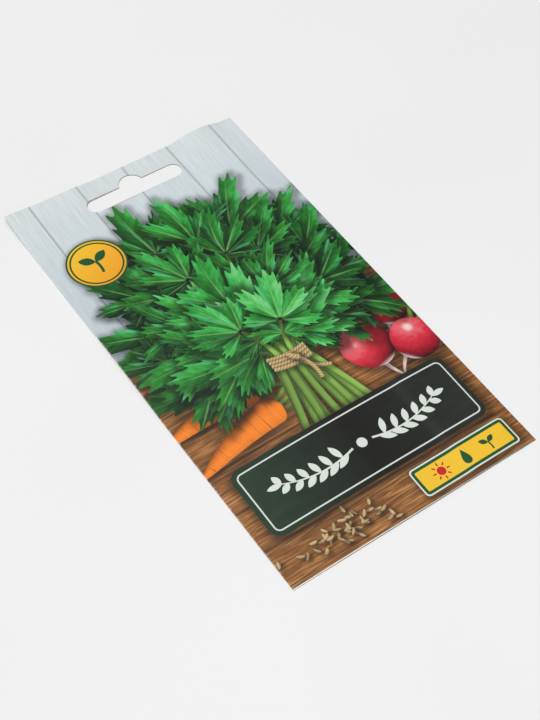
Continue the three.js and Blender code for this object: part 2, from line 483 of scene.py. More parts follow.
def spray(rng, bearing, reach, brightness):
    """One stalk with an end leaflet, two beside it and two smaller ones lower down."""
    size = rng.uniform(*SPRAY_SIZE)
    heading = compass(bearing)
    root = TIE + (BUNCH_NECK * heading[0], 0)
    end = TIE + heading * (reach - size * 0.8)
    stalk = arc_between(root, end, -0.06 * reach * heading[0])
    turn = math.degrees(math.atan2(*(stalk[-1] - stalk[-2])))
    tint = STALK_GREEN * (0.45 + brightness)
    yield ribbon(FRONT, stalk, np.linspace(0.95, 0.5, len(stalk)), tint, "stalks", shadow=0.4)
    for joint, spread, share, lighter in LEAF_PAIRS:
        for side in (-1, 1):
            aside = turn + side * spread * rng.uniform(0.85, 1.15)
            length = size * share * rng.uniform(0.9, 1.1)
            yield leaflet(rng, stalk[joint], aside, length, brightness + lighter)
    yield leaflet(rng, end, turn + rng.uniform(-12, 12), size, brightness + 0.06)


def herb_bunch(rng):
    yield bunch_core()
    for count, share, fan, brightness in SPRAY_LAYERS:
        bearings = np.linspace(-fan, fan, count) + rng.uniform(-4, 4, count)
        for bearing in rng.permutation(bearings):
            reach = bunch_reach(bearing) * share * rng.uniform(0.93, 1.05)
            yield from spray(rng, bearing, reach, brightness + rng.uniform(-0.04, 0.04))


def cut_stalks(rng):
    """Stalk ends that fan out again below the tie."""
    for place in rng.permutation(np.linspace(-1, 1, CUT_STALKS)):
        root = TIE + (place * BUNCH_NECK * 0.9, 1)
        end = TIE + (place * CUT_STALK_FAN + rng.uniform(-1, 1), rng.uniform(*CUT_STALK_FALL))
        tint = STALK_GREEN * rng.uniform(0.6, 1.1)
        curve = arc_between(root, end, rng.uniform(-0.6, 0.6))
        yield ribbon(FRONT, curve, CUT_STALK_RADIUS, tint, "stalks", shadow=0.5)


def strand(start, end, sag, half_width=TWINE_RADIUS):
    return ribbon(FRONT, arc_between(start, end, sag), half_width, TWINE, "twine", shadow=0.5)


def twine_tie():
    """Turns of twine round the stalks, with a knot and two ends."""
    half = BUNCH_NECK + 1.1
    for turn in range(TWINE_TURNS):
        height = TIE[1] + TWINE_TOP - turn * TWINE_PITCH
        yield strand((-half, height + 0.25), (half, height - 0.35), 0.9)
    for end, sag in TWINE_ENDS:
        yield strand(KNOT, TIE + end, sag)
    yield strand(KNOT + (-1.2, 1.2), KNOT + (1.2, -1.2), 0.4, 1.5 * TWINE_RADIUS)


def radish(centre, radius, bearing):
    """Round red root with a thin tail and cut stalks."""

    def from_unit(points):
        return rotated(np.array(points) * radius, bearing) + centre

    def place(points):
        return rotated(points - centre, -bearing) / radius

    tail = arc_between(*from_unit([(0, 0), (0, -2.1)]), 0.2 * radius)
    taper = radius * np.linspace(0.16, 0.03, len(tail))
    yield ribbon(FRONT, tail, taper, TAIL_PINK, "stalks", shadow=0.4)
    for side in (-0.22, 0, 0.22):
        stalk = arc_between(*from_unit([(side, 0.85), (2 * side, 1.45)]), side)
        yield ribbon(FRONT, stalk, 0.1 * radius, STALK_GREEN * 0.9, "stalks", shadow=0.4)
    around = compass(np.linspace(0, 360, 48, endpoint=False))
    swollen = 1 + 0.1 * np.maximum(-around[:, 1:], 0) ** 4
    yield Motif(FRONT, from_unit(around * swollen), RED, "round_roots", place, shadow=0.6, reach=3)


def carrot(crown_end, tip, half_width):
    """Orange root that tapers from a round crown with cut stalks."""
    crown_end, tip = np.array(crown_end, float), np.array(tip, float)
    ahead = (crown_end - tip) / np.linalg.norm(crown_end - tip)
    for side in (-0.4, 0, 0.4):
        across = np.array([-ahead[1], ahead[0]]) * side * half_width
        stalk_end = crown_end + ahead * half_width * 1.3 + across * 1.8
        stalk = arc_between(crown_end + across, stalk_end, side)
        yield ribbon(FRONT, stalk, 0.7, STALK_GREEN * 0.8, "stalks")
    body = arc_between(crown_end, tip, 1.2, steps=60)
    t = np.linspace(0, 1, len(body))
    rounding = np.sqrt(1 - np.clip(1 - t / 0.1, 0, 0.99) ** 2)
    widths = half_width * rounding * (1 - t) ** 0.55 + 0.1
    yield ribbon(FRONT, body, widths, ORANGE, "roots", shadow=0.6, reach=3)


# Blank name board and its ornament
NAME_BOX = (-35.5, -59.0, 35.5, -36.5)
NAME_RADIUS = 3.2
FRAME_INSET = 1.5
FRAME_LINE = 0.42
SPRIG_START = (3.2, -0.4)
SPRIG_END = (25, 1.2)
SPRIG_BEARINGS = (120, 21)  # of the leaves below and above a branch


def sprig_ornament(centre):
    """Two plain branches that meet at a dot."""
    for side in (-1, 1):
        start, end = centre + np.array([SPRIG_START, SPRIG_END]) * (side, 1)
        branch = arc_between(start, end, side * 2.0, steps=12)
        yield ribbon(FRONT, branch, np.linspace(0.32, 0.16, len(branch)), PALE)
        for i, point in enumerate(branch[1:]):
            yield Motif(FRONT, almond(point, side * SPRIG_BEARINGS[i % 2], 5.2 - 0.16 * i, 0.95), PALE)
        yield Motif(FRONT, almond(end, side * 84, 4.4, 0.85), PALE)
    yield Motif(FRONT, circle(centre - (0, 0.2), 1.5, 24), PALE)


def name_board():
    left, bottom, right, top = NAME_BOX

    def tint(points):
        # colour across the board: darkest in the middle, with painted sheen towards both ends
        marks = np.linspace(left, right, len(SLATE_WITH_SHEEN))
        channels = [np.interp(points[:, 0], marks, channel) for channel in np.transpose(SLATE_WITH_SHEEN)]
        return np.stack(channels, axis=1)

    yield Motif(FRONT, rounded_rectangle(NAME_BOX, NAME_RADIUS), tint, "slate", shadow=0.65, reach=3.2)
    yield outline_frame(FRONT, inset(NAME_BOX, FRAME_INSET), NAME_RADIUS - FRAME_INSET, FRAME_LINE, PALE)
    yield from sprig_ornament(np.array([left + right, bottom + top]) / 2)


# Pictograms
def sun(panel, centre, radius, tint):
    yield Motif(panel, circle(centre, radius * 0.45, 24), tint)
    for bearing in range(0, 360, 45):
        ray = centre + np.outer((0.6 * radius, 0.95 * radius), compass(bearing))
        yield ribbon(panel, ray, (radius * 0.09, radius * 0.06), tint)


def drop(panel, centre, radius, tint):
    angle = np.linspace(0, 2 * math.pi, 32, endpoint=False)
    pinch = np.sin(angle / 2) ** 1.5
    points = np.stack([radius * 0.62 * np.sin(angle) * pinch, radius * 0.85 * np.cos(angle)], axis=1)
    yield Motif(panel, points + centre, tint)


def sprout(panel, centre, radius, tint):
    stalk = arc_between(centre - (0, radius * 0.85), centre + (0, radius * 0.05), 0.06 * radius)
    yield ribbon(panel, stalk, radius * 0.08, tint)
    for bearing in (-58, 58):
        yield Motif(panel, almond(centre, bearing, radius * 0.95, radius * 0.26), tint)


PICTOGRAMS = (sun, drop, sprout)


# Round badge, and the small plain label at the bottom
BADGE_CENTRE = np.array([-26.0, 43.5])
BADGE_RADIUS = 9.0
LABEL_BOX = (4.5, -70.6, 36.5, -61.6)
LABEL_LAYERS = (  # inset, corner radius, tint and shadow
    (0, 1.2, PALE, 0.55),
    (0.45, 0.9, DEEP_GREEN, 0),
    (1.3, 0.4, YELLOW, 0),
)
LABEL_PICTURE = 2.9


def badge_glow(points):
    down = (points - BADGE_CENTRE) @ np.array([0.5, -0.85]) / BADGE_RADIUS
    return YELLOW + part_way(down, -1, 1)[:, None] * (AMBER - YELLOW)


BADGE_LAYERS = (  # share of the radius, tint and shadow
    (1.0, DEEP_GREEN, 0.6),
    (0.94, badge_glow, 0),
    (0.88, DEEP_GREEN, 0),
    (0.82, badge_glow, 0),
)


def badge():
    for share, tint, shadow in BADGE_LAYERS:
        yield Motif(FRONT, circle(BADGE_CENTRE, BADGE_RADIUS * share, 64), tint, shadow=shadow)
    yield from sprout(FRONT, BADGE_CENTRE + (0, 0.6), BADGE_RADIUS * 0.6, DEEP_GREEN)


def small_label():
    left, bottom, right, top = LABEL_BOX
    for amount, radius, tint, shadow in LABEL_LAYERS:
        yield Motif(FRONT, rounded_rectangle(inset(LABEL_BOX, amount), radius), tint, shadow=shadow)
    for k, picture in enumerate(PICTOGRAMS, start=1):
        centre = np.array([left + (right - left) * k / (len(PICTOGRAMS) + 1), (bottom + top) / 2])
        yield from picture(FRONT, centre, LABEL_PICTURE, RED if picture is sun else DEEP_GREEN)


# Loose seeds printed on the table
PRINTED_SEEDS = 44
PRINTED_SEEDS_MIDDLE = np.array([-17.0, -66.0])
PRINTED_SEEDS_SPREAD = (8, 2.1)


def printed_seeds(rng):
    for _ in range(PRINTED_SEEDS):
        middle = PRINTED_SEEDS_MIDDLE + rng.normal(0, 1, 2) * PRINTED_SEEDS_SPREAD
        half = rng.uniform(0.9, 1.2) * compass(rng.uniform(0, 180))
        curve = arc_between(middle - half, middle + half, 0.15, steps=6)
        widths = rng.uniform(0.42, 0.52) * np.sin(np.linspace(0.35, math.pi - 0.25, len(curve))) ** 0.7
        tint = SEED_BROWN * rng.uniform(0.7, 1.25)
        yield ribbon(FRONT, curve, widths, tint, "stalks", shadow=0.55, reach=0.9)


def front_print():
    rng = np.random.default_rng(PRINT_SEED)
    yield from wall_and_table(rng)
    for shape in CARROTS:
        yield from carrot(*shape)
    for shape in RADISHES:
        yield from radish(*shape)
    yield from herb_bunch(rng)
    yield from cut_stalks(rng)
    yield from twine_tie()
    yield from printed_seeds(rng)
    yield from name_board()
    yield from small_label()
    yield from badge()


# The back: pale ground with plain bands, a sowing table, ruled lines and pictograms
BAND_BOTTOM = -62
BAND_TOP = 52
BAND_LINE = 0.8
BAND_LINE_GAP = 0.7
BACK_LEFT = -20
BACK_RIGHT = 36
TABLE_BOTTOM = 20
TABLE_TOP = 44
TABLE_LINE = 0.28
MONTHS = 12
TABLE_ROWS = 3
TABLE_BARS = (  # row, first and last month, tint
    (1, 2, 5, DEEP_GREEN),
    (1, 7, 9, DEEP_GREEN),
    (0, 4, 10, ORANGE),
)
RULED_TOP = 12
RULED_STEP = 5.6
RULED_LINES = 7
PICTOGRAM_Y = -45.5
PICTOGRAM_RADIUS = 7.2
STAMP_BOX = (-37, -30, -25, 44)
STAMP_RADIUS = 1.5


def plain_ground(panel):
    """Pale ground between two green bands, each with a yellow line along it."""
    low_line = BAND_BOTTOM + BAND_LINE_GAP
    high_line = BAND_TOP - BAND_LINE_GAP - BAND_LINE
    stripes = (
        (BOTTOM, TOP, CREAM),
        (BAND_TOP, TOP, DEEP_GREEN),
        (BOTTOM, BAND_BOTTOM, DEEP_GREEN),
        (low_line, low_line + BAND_LINE, YELLOW),
        (high_line, high_line + BAND_LINE, YELLOW),
    )
    for low, high, tint in stripes:
        yield Motif(panel, rectangle(-WIDTH, low, WIDTH, high), tint)


def level_line(y):
    """Thin line across the wide flap."""
    return Motif(INNER_FLAP, rectangle(BACK_LEFT, y, BACK_RIGHT, y + TABLE_LINE), SOFT_GREEN)


# Strokes of plain figures, on a grid one wide and two high
STROKES = {
    "a": ((0, 2), (1, 2)),
    "b": ((1, 2), (1, 1)),
    "c": ((1, 1), (1, 0)),
    "d": ((0, 0), (1, 0)),
    "e": ((0, 1), (0, 0)),
    "f": ((0, 2), (0, 1)),
    "g": ((0, 1), (1, 1)),
}
FIGURES = ("abcdef", "bc", "abged", "abgcd", "fgbc", "afgcd", "afgedc", "abc", "abcdefg", "abfgcd")
STROKE_WEIGHT = 0.07  # half a stroke's width, as a share of a figure's height


def month_number(number, middle, height):
    """One or two plain figures, made of straight strokes."""
    digits = str(number)
    for k, digit in enumerate(digits):
        shift = (k - (len(digits) - 1) / 2) * 0.75 * height
        corner = middle + (shift - height / 4, -height / 2)
        for stroke in FIGURES[int(digit)]:
            ends = np.array(STROKES[stroke]) * height / 2 + corner
            yield ribbon(INNER_FLAP, ends, STROKE_WEIGHT * height, CREAM)


def sowing_table():
    """Twelve numbered months across, with bars for sowing and picking."""
    month = (BACK_RIGHT - BACK_LEFT) / MONTHS
    row = (TABLE_TOP - TABLE_BOTTOM) / TABLE_ROWS
    head = TABLE_TOP - row
    yield Motif(INNER_FLAP, rectangle(BACK_LEFT, head, BACK_RIGHT, TABLE_TOP), DEEP_GREEN)
    for k in range(MONTHS + 1):
        x = BACK_LEFT + k * month
        yield Motif(INNER_FLAP, rectangle(x, TABLE_BOTTOM, x + TABLE_LINE, head), SOFT_GREEN)
    for k in range(TABLE_ROWS):
        yield level_line(TABLE_BOTTOM + k * row)
    for level, first, last, tint in TABLE_BARS:
        y = TABLE_BOTTOM + (level + 0.5) * row
        box = (BACK_LEFT + first * month, y - row / 5, BACK_LEFT + last * month, y + row / 5)
        yield Motif(INNER_FLAP, rounded_rectangle(box, row / 6), tint)
    for k in range(MONTHS):
        middle = np.array([BACK_LEFT + (k + 0.5) * month, TABLE_TOP - row / 2])
        yield from month_number(k + 1, middle, month / 2)


def back_print():
    yield from plain_ground(INNER_FLAP)
    yield from plain_ground(OUTER_FLAP)
    yield from sowing_table()
    for k in range(RULED_LINES):
        yield level_line(RULED_TOP - k * RULED_STEP)
    for k, picture in enumerate(PICTOGRAMS):
        share = (k + 0.5) / len(PICTOGRAMS)
        centre = np.array([BACK_LEFT + share * (BACK_RIGHT - BACK_LEFT), PICTOGRAM_Y])
        yield Motif(INNER_FLAP, circle(centre, PICTOGRAM_RADIUS), DEEP_GREEN)
        yield Motif(INNER_FLAP, circle(centre, PICTOGRAM_RADIUS * 0.91), CREAM)
        yield from picture(INNER_FLAP, centre, PICTOGRAM_RADIUS * 0.75, DEEP_GREEN)
    yield outline_frame(OUTER_FLAP, STAMP_BOX, STAMP_RADIUS, TABLE_LINE, SOFT_GREEN)


# Outlines on the flat sheet
def sides_of(outline):
    """Pairs of neighbouring points, all the way round."""
    return zip(outline, np.roll(outline, -1, axis=0))


def clipped(outline, axis, limit, side):
    """Part of an outline below a limit on one axis, or above it if side is -1."""
    kept = []
    for a, b in sides_of(outline):
        room_a = side * (limit - a[axis])
        room_b = side * (limit - b[axis])
        if room_a >= 0:
            kept.append(a)
        if (room_a >= 0) != (room_b >= 0):
            kept.append(a + (b - a) * room_a / (room_a - room_b))
    return np.array(kept)


def on_sheet(motif):
    """A motif's outline on the flat sheet, cut off at its panel's edges."""
    panel = motif.panel
    outline = panel.to_sheet(motif.outline)
    for axis, limit, side in ((0, panel.low, -1), (0, panel.high, 1), (1, BOTTOM, -1), (1, TOP, 1)):
        outline = clipped(outline, axis, limit, side)
    return outline


def stepped(start, end):
    """Points along a straight line at about the edge step, both ends included."""
    start, end = np.array(start, float), np.array(end, float)
    count = max(1, round(np.linalg.norm(end - start) / EDGE_STEP))
    return start + np.linspace(0, 1, count + 1)[:, None] * (end - start)


def divided(outline):
    """The same outline with points at about the edge step."""
    return np.concatenate([stepped(a, b)[:-1] for a, b in sides_of(outline)])


def inside(points, outline):
    """Which points an outline holds."""
    x, y = points.T
    held = np.zeros(len(points), bool)
    for a, b in sides_of(outline):
        crosses = (a[1] > y) != (b[1] > y)
        rising = b[1] - a[1] or 1.0
        held ^= crosses & (x < a[0] + (b[0] - a[0]) * (y - a[1]) / rising)
    return held


def distance_to(points, outline):
    gap = nearest_on(np.concatenate([outline, outline[:1]]), points)[2]
    return np.hypot(*gap.T)


def near(points, outline, margin):
    """Indices of points in an outline's box, grown by a margin."""
    low = outline.min(axis=0) - margin
    high = outline.max(axis=0) + margin
    return np.flatnonzero(((points > low) & (points < high)).all(axis=1))


def slot_outline():
    half = SLOT_HEIGHT / 2
    end = SLOT_LENGTH / 2 - half
    notch_y = half + NOTCH_RISE - NOTCH_RADIUS
    notch_start = math.degrees(math.asin((half - notch_y) / NOTCH_RADIUS))
    arcs = (
        arc((end, 0), half, -90, 90, SLOT_STEPS),
        arc((0, notch_y), NOTCH_RADIUS, notch_start, 180 - notch_start, SLOT_STEPS),
        arc((-end, 0), half, 90, 270, SLOT_STEPS),
    )
    return np.concatenate(arcs) + (SLOT_X, SLOT_Y)


SLOTS = [slot_outline(), INNER_FLAP.to_sheet(slot_outline() * (-1, 1))]


# Triangles of the sheet
def fold_lines():
    """Lines along the two folds, close enough together to round them."""
    lines = []
    for side in (-1, 1):
        for past in np.linspace(0, FOLD_ARC, FOLD_STEPS + 1):
            u = side * (FOLD_X + past)
            lines.append(stepped((u, BOTTOM), (u, TOP)))
    return lines


def grid_points(low, high, spacing):
    """Staggered rows of points across a stretch of the sheet."""
    rows = np.arange(BOTTOM + spacing / 2, TOP, spacing * math.sqrt(3) / 2)
    points = []
    for i, y in enumerate(rows):
        across = np.arange(low + spacing * (0.5 + 0.5 * (i % 2)), high, spacing)
        points.extend((u, y) for u in across)
    return points


def add_path(given, edges, path, closed=False):
    """Adds a path's points and the edges between them to those given so far."""
    first = len(given)
    count = len(path)
    given.extend(map(tuple, path))
    edges.extend((first + i, first + (i + 1) % count) for i in range(count if closed else count - 1))


def triangulate(given, edges):
    """Triangles over the sheet that follow the given edges, without what the slots cut out.

    Returns the points, the triangles and each given point's number among the points."""
    made = delaunay_2d_cdt([Vector(p) for p in given], edges, [], 0, SAME_POINT, True)
    corners = np.array([tuple(p) for p in made[0]])
    triangles = np.array(made[2])
    middle = corners[triangles].mean(axis=1)
    cut = inside(middle, SLOTS[0]) | inside(middle, SLOTS[1])
    numbers = np.full(len(given), -1)
    for number, sources in enumerate(made[3]):
        numbers[list(sources)] = number
    return corners, triangles[~cut], numbers


def printed_side(outlines):
    """Triangles of the outside, along the outlines of all motifs."""
    given, edges = [], []
    border = rectangle(SHEET_LEFT, BOTTOM, SHEET_RIGHT, TOP)
    for ring in [divided(border), *SLOTS, *map(divided, outlines)]:
        add_path(given, edges, ring, closed=True)
    for line in fold_lines():
        add_path(given, edges, line)
    given += grid_points(-FOLD_X, FOLD_X, FRONT_GRID)
    given += grid_points(SHEET_LEFT, -FRONT_END, BACK_GRID)
    given += grid_points(FRONT_END, SHEET_RIGHT, BACK_GRID)
    return triangulate(given, edges)[:2]


def bare_side(rim, rim_edges):
    """Coarser triangles of the inside, which share the outside's rim."""
    given = [tuple(p) for p in rim]
    edges = rim_edges.tolist()
    for line in fold_lines():
        add_path(given, edges, line[1:-1])
    given += grid_points(SHEET_LEFT + 1, SHEET_RIGHT - 1, INSIDE_GRID)
    return triangulate(given, edges)


def open_edges(triangles):
    """Edges that only one triangle has, in that triangle's direction."""
    edges = np.concatenate([triangles[:, (0, 1)], triangles[:, (1, 2)], triangles[:, (2, 0)]])
    keys = np.sort(edges, axis=1)
    _, where, count = np.unique(keys, axis=0, return_index=True, return_counts=True)
    return edges[where[count == 1]]


# Print on the triangles
SHADOW_SHIFT = np.array([0.5, -0.7])
DARKEST_SHADOW = 0.22


def owners(triangle_middles, outlines):
    """The topmost motif over each triangle."""
    owner = np.zeros(len(triangle_middles), int)
    for index, outline in enumerate(outlines):
        close = near(triangle_middles, outline, 0)
        owner[close[inside(triangle_middles[close], outline)]] = index
    return owner


def printed_shade(points, owner, motifs, outlines):
    """Light left at each point after the shadows printed round the motifs above it."""
    shade = np.ones(len(points))
    for index, (motif, outline) in enumerate(zip(motifs, outlines)):
        if not motif.shadow:
            continue
        close = near(points, outline, motif.reach + 1)
        close = close[owner[close] < index]
        shifted = points[close] - SHADOW_SHIFT
        gap = np.where(inside(shifted, outline), 0, distance_to(shifted, outline))
        shade[close] *= 1 - motif.shadow * (1 - rise(gap, 0, motif.reach))
    return np.maximum(shade, DARKEST_SHADOW)


def printed_corners(sheet, triangles, motifs, outlines):
    """The motif of each triangle, and each triangle corner's place and tint with its shade."""
    owner = owners(sheet[triangles].mean(axis=1), outlines)
    corners = np.stack([triangles.ravel(), np.repeat(owner, 3)], axis=1)
    pairs, back = np.unique(corners, axis=0, return_inverse=True)
    points = sheet[pairs[:, 0]]
    place = np.zeros((len(pairs), 3))
    tint = np.zeros((len(pairs), 4))
    for index in np.unique(owner):
        motif = motifs[index]
        mine = pairs[:, 1] == index
        local = motif.panel.from_sheet(points[mine])
        place[mine, :2] = motif.place(local) if motif.place else local
        place[mine, 2] = index
        tint[mine, :3] = motif.tint(local) if callable(motif.tint) else motif.tint
    tint[:, 3] = printed_shade(points, pairs[:, 1], motifs, outlines)
    return owner, place[back.ravel()], tint[back.ravel()]


# Baked colours: the front takes most of the map, the flaps the rest, and the bare inside a strip at the top
FRONT_SHARE = 0.66
PRINT_SHARE = 0.94
STRIP_GAP = 0.01


def bake_map(sheet, printed):
    u, y = sheet.T
    flap_left = -FRONT_END - SHEET_LEFT
    flap_right = SHEET_RIGHT - FRONT_END
    start = flap_left * (1 - FRONT_SHARE) / (flap_left + flap_right)
    marks = (SHEET_LEFT, -FRONT_END, FRONT_END, SHEET_RIGHT)
    across = np.interp(u, marks, (0, start, start + FRONT_SHARE, 1))
    along = (y - BOTTOM) / LENGTH
    strip = PRINT_SHARE + STRIP_GAP + along * (1 - PRINT_SHARE - 2 * STRIP_GAP)
    return np.stack([across, np.where(printed, along * PRINT_SHARE, strip)], axis=1)


# Wear of the print
RUB_FADE = (0.8, 0.4)  # from a fold, from none to full
RUB_STRENGTH = 0.4
CUT_FADE = (0.36, 0.24)  # from a cut edge, from none to full
CUT_SKEW = (40, -20)  # across the sheet, from none to full: the sheet was cut a little skew


# Materials
@dataclass
class Value:
    """A number in a material that varies from place to place, and that sums can be done with."""

    ink: object
    socket: object

    def __add__(self, other):
        return self.ink.math("ADD", self, other)

    def __sub__(self, other):
        return self.ink.math("SUBTRACT", self, other)

    def __rsub__(self, other):
        return self.ink.math("SUBTRACT", other, self)

    def __mul__(self, other):
        return self.ink.math("MULTIPLY", self, other)

    def __truediv__(self, other):
        return self.ink.math("DIVIDE", self, other)

    def __abs__(self):
        return self.ink.math("ABSOLUTE", self)

    __radd__ = __add__
    __rmul__ = __mul__


class Ink:
    """A material, built node by node."""

    def __init__(self, name):
        self.material = bpy.data.materials.new(name)
        self.material.use_nodes = True
        self.nodes = self.material.node_tree.nodes
        self.links = self.material.node_tree.links
        self.nodes.clear()

    def node(self, kind, inputs=(), **settings):
        made = self.nodes.new("ShaderNode" + kind)
        for key, value in settings.items():
            setattr(made, key, value)
        for key, value in dict(inputs).items():
            self.feed(made.inputs[key], value)
        return made

    def feed(self, socket, value):
        """Joins a socket to another one, or sets it to a number, vector or colour."""
        if isinstance(value, Value):
            self.links.new(value.socket, socket)
        elif isinstance(value, bpy.types.NodeSocket):
            self.links.new(value, socket)
        elif isinstance(value, np.ndarray):
            socket.default_value = (*value, 1)
        else:
            socket.default_value = value

    def math(self, operation, *values):
        return Value(self, self.node("Math", enumerate(values), operation=operation).outputs[0])

    def length(self, x, y):
        return self.math("SQRT", x * x + y * y)

    def smooth(self, value, start, end):
        """0 up to start and 1 from end on."""
        inputs = {"Value": value, "From Min": start, "From Max": end}
        return Value(self, self.node("MapRange", inputs, interpolation_type="SMOOTHSTEP").outputs[0])

    def noise(self, vector, scale, detail, stretch=None):
        if stretch:
            vector = self.node("Mapping", {"Vector": vector, "Scale": stretch}).outputs[0]
        inputs = {"Vector": vector, "Scale": scale, "Detail": detail}
        return Value(self, self.node("TexNoise", inputs).outputs[0])

    def mix(self, factor, first, second, blend="MIX"):
        inputs = {0: factor, 6: first, 7: second}
        return self.node("Mix", inputs, data_type="RGBA", blend_type=blend).outputs[2]

    def times(self, tint, factor):
        """A colour made lighter or darker by a number."""
        return self.node("VectorMath", {0: tint, "Scale": factor}, operation="SCALE").outputs[0]

    def ramp(self, value, stops):
        made = self.node("ValToRGB", {0: value})
        band = made.color_ramp.elements
        while len(band) < len(stops):
            band.new(0.5)
        for element, (position, *tone) in zip(band, stops):
            element.position = position
            element.color = (*colour(*tone), 1)
        return made.outputs[0]

    def attribute(self, name):
        return self.node("Attribute", attribute_name=name).outputs

    def split(self, vector):
        return [Value(self, part) for part in self.node("SeparateXYZ", {0: vector}).outputs]

    def tint(self):
        return self.attribute("tint")["Color"]

    def shade(self):
        return Value(self, self.attribute("tint")["Alpha"])

    def place(self):
        """Place in the motif's own coordinates, and the motif's number as the third part."""
        return self.attribute("place")["Vector"]

    def object_place(self):
        return self.node("TexCoord").outputs["Object"]

    def surface(self, tint, roughness, height, depth, coat=0.0, specular=0.5):
        """The shader, with fine bumps of a depth in metres."""
        inputs = {
            "Base Color": tint,
            "Roughness": roughness,
            "Normal": self.node("Bump", {"Height": height, "Distance": depth}).outputs[0],
            "Coat Weight": coat,
            "Coat Roughness": 0.25,
            "Specular IOR Level": specular,
        }
        shader = self.node("BsdfPrincipled", inputs)
        self.node("OutputMaterial", {0: shader.outputs[0]})
        return self.material

    def on_paper(self, tint):
        """Coated paper under a printed colour: shaded, rubbed on the folds, white along the cut edges."""
        sheet = self.attribute("sheet")["Vector"]
        u, y, _ = self.split(sheet)
        speck = self.noise(sheet, 1.1, 5)
        from_fold = abs(abs(u) - (FOLD_X + FOLD_ARC / 2)) + speck
        rubbed = RUB_STRENGTH * self.smooth(from_fold, *RUB_FADE)
        worn = self.mix(rubbed, self.times(tint, self.shade()), PAPER_WHITE)
        from_cut = TOP - abs(y) + 0.1 * speck
        bare = self.smooth(from_cut, *CUT_FADE) * self.smooth(u, *CUT_SKEW)
        worn = self.mix(bare, worn, PAPER_WHITE)
        roughness = 0.34 + 0.12 * self.noise(sheet, 0.16, 3)
        return self.surface(worn, roughness, self.noise(sheet, 2.6, 4), 0.000006, coat=0.08, specular=0.3)


# Tones that a material runs through, each with its position from 0 to 1
WOOD_TONES = ((0.22, 54, 30, 14), (0.45, 120, 76, 38), (0.62, 168, 116, 64), (0.8, 212, 166, 108))
LEAF_TONES = (
    (0.0, 10, 34, 16),
    (0.25, 22, 72, 28),
    (0.5, 44, 130, 44),
    (0.72, 74, 186, 88),
    (1.0, 160, 224, 150),
)
RADISH_TONES = ((0.0, 74, 4, 18), (0.4, 164, 18, 40), (0.72, 214, 46, 66), (1.0, 240, 120, 126))
SEED_TONES = ((0.3, 92, 68, 40), (0.52, 140, 110, 70), (0.75, 186, 158, 112))
CUT_TONES = ((0.3, 226, 224, 216), (0.7, 246, 245, 240))
# Inside paper: grey-brown painted shade, darker than the white paper, for the shadowed gap between the
# plies
INSIDE_SHADE_TONES = ((0.3, 126, 110, 96), (0.7, 150, 134, 118))
GLUE_TONES = ((0.3, 214, 204, 176), (0.7, 236, 228, 206))
FLOOR_TONES = ((0.3, 236, 236, 236), (0.7, 240, 240, 240))


# Inks, each of which gives the colour at a place in its motif
def plain_ink(ink):
    """Even colour with the fine grain of print."""
    grain = ink.noise(ink.object_place(), 3200, 2)
    return ink.times(ink.tint(), 0.92 + 0.16 * grain)


def wall_ink(ink):
    """Pale painted boards, upright, with soft gaps and brush marks."""
    x, _, _ = ink.split(ink.place())
    from_gap = ink.math("PINGPONG", x / WALL_BOARD, 0.5)
    brush = ink.noise(ink.place(), 1.0, 5, stretch=(1.6, 0.09, 0.0))
    base = ink.times(ink.tint(), 0.8 + 0.34 * brush)
    return ink.mix(ink.smooth(from_gap, 0.0, 0.035), ink.times(base, 0.62), base)


def board_ink(ink):
    """Brown boards with grain along them and dark gaps between."""
    _, v, _ = ink.split(ink.place())
    long_grain = ink.noise(ink.place(), 1.6, 6, stretch=(0.02, 1.3, 1.0))
    fine_grain = ink.noise(ink.place(), 2.0, 5, stretch=(0.045, 7.0, 1.0))
    rings = ink.math("SINE", 46 * (long_grain + 0.12 * v))
    wood = ink.ramp(0.95 * fine_grain + 0.1 * rings, WOOD_TONES)
    clear_of_gap = ink.smooth(abs(v), 0.99, 0.9)
    return ink.times(ink.mix(0.35, wood, ink.tint()), 0.5 + 0.75 * clear_of_gap)


def leaf_ink(ink):
    """Veined green blades, lighter on one side of each lobe's rib, with a cool sheen in streaks."""
    x, y, number = ink.split(ink.place())
    brightness, coolness, slant = ink.split(ink.tint())
    far = ink.length(x, y)
    turn = ink.math("ARCTAN2", x, y) / math.radians(LOBE_ANGLE)
    lobe = ink.math("MAXIMUM", ink.math("MINIMUM", ink.math("ROUND", turn), 1.0), -1.0)
    off_rib = turn - lobe
    aside = abs(off_rib)

    from_rib = aside * far * math.radians(LOBE_ANGLE)
    rib_width = ink.math("MAXIMUM", 1.05 - far, 0.1)
    rib = ink.smooth(from_rib / rib_width, 0.026, 0.006) * ink.smooth(far, 1.0, 0.3)

    radial = ink.node("CombineXYZ", {0: 2.6 * turn, 1: far, 2: number}).outputs[0]
    streak = ink.noise(radial, 1.5, 3)
    cockle = ink.noise(ink.place(), 4.0, 4, stretch=(1, 1, 3.7))
    quilt = ink.math("SINE", 2 * math.pi * (7 * far - 4.2 * aside))
    lit_side = ink.smooth(off_rib, -0.4, 0.4)
    light = brightness + x * (0.6 * slant - 0.3)
    for part, weight in ((lit_side, 0.28), (cockle, 0.5), (streak, 0.58), (far, 0.2), (quilt, 0.025)):
        light = light + weight * (part - 0.5)

    green = ink.ramp(light, LEAF_TONES)
    bluer = ink.mix(0.5, green, colour(120, 232, 205), "MULTIPLY")
    sheen = 0.42 * ink.smooth(streak, 0.54, 0.74)
    glossy = ink.mix(sheen, ink.mix(coolness, green, bluer), colour(112, 214, 164))
    return ink.mix(0.42 * rib, glossy, colour(150, 208, 120))


def rod_light(v):
    """Light on a rod, for a place across it from -1 to 1."""
    lit = v + 0.3
    return 1.08 - 0.5 * lit * lit


def stalk_ink(ink):
    """Stalks, thin roots and seeds: rods with streaks along them."""
    _, v, _ = ink.split(ink.place())
    streak = ink.noise(ink.place(), 1.5, 4, stretch=(0.12, 2.2, 1.0))
    return ink.times(ink.tint(), rod_light(v) * (0.6 + 0.8 * streak))


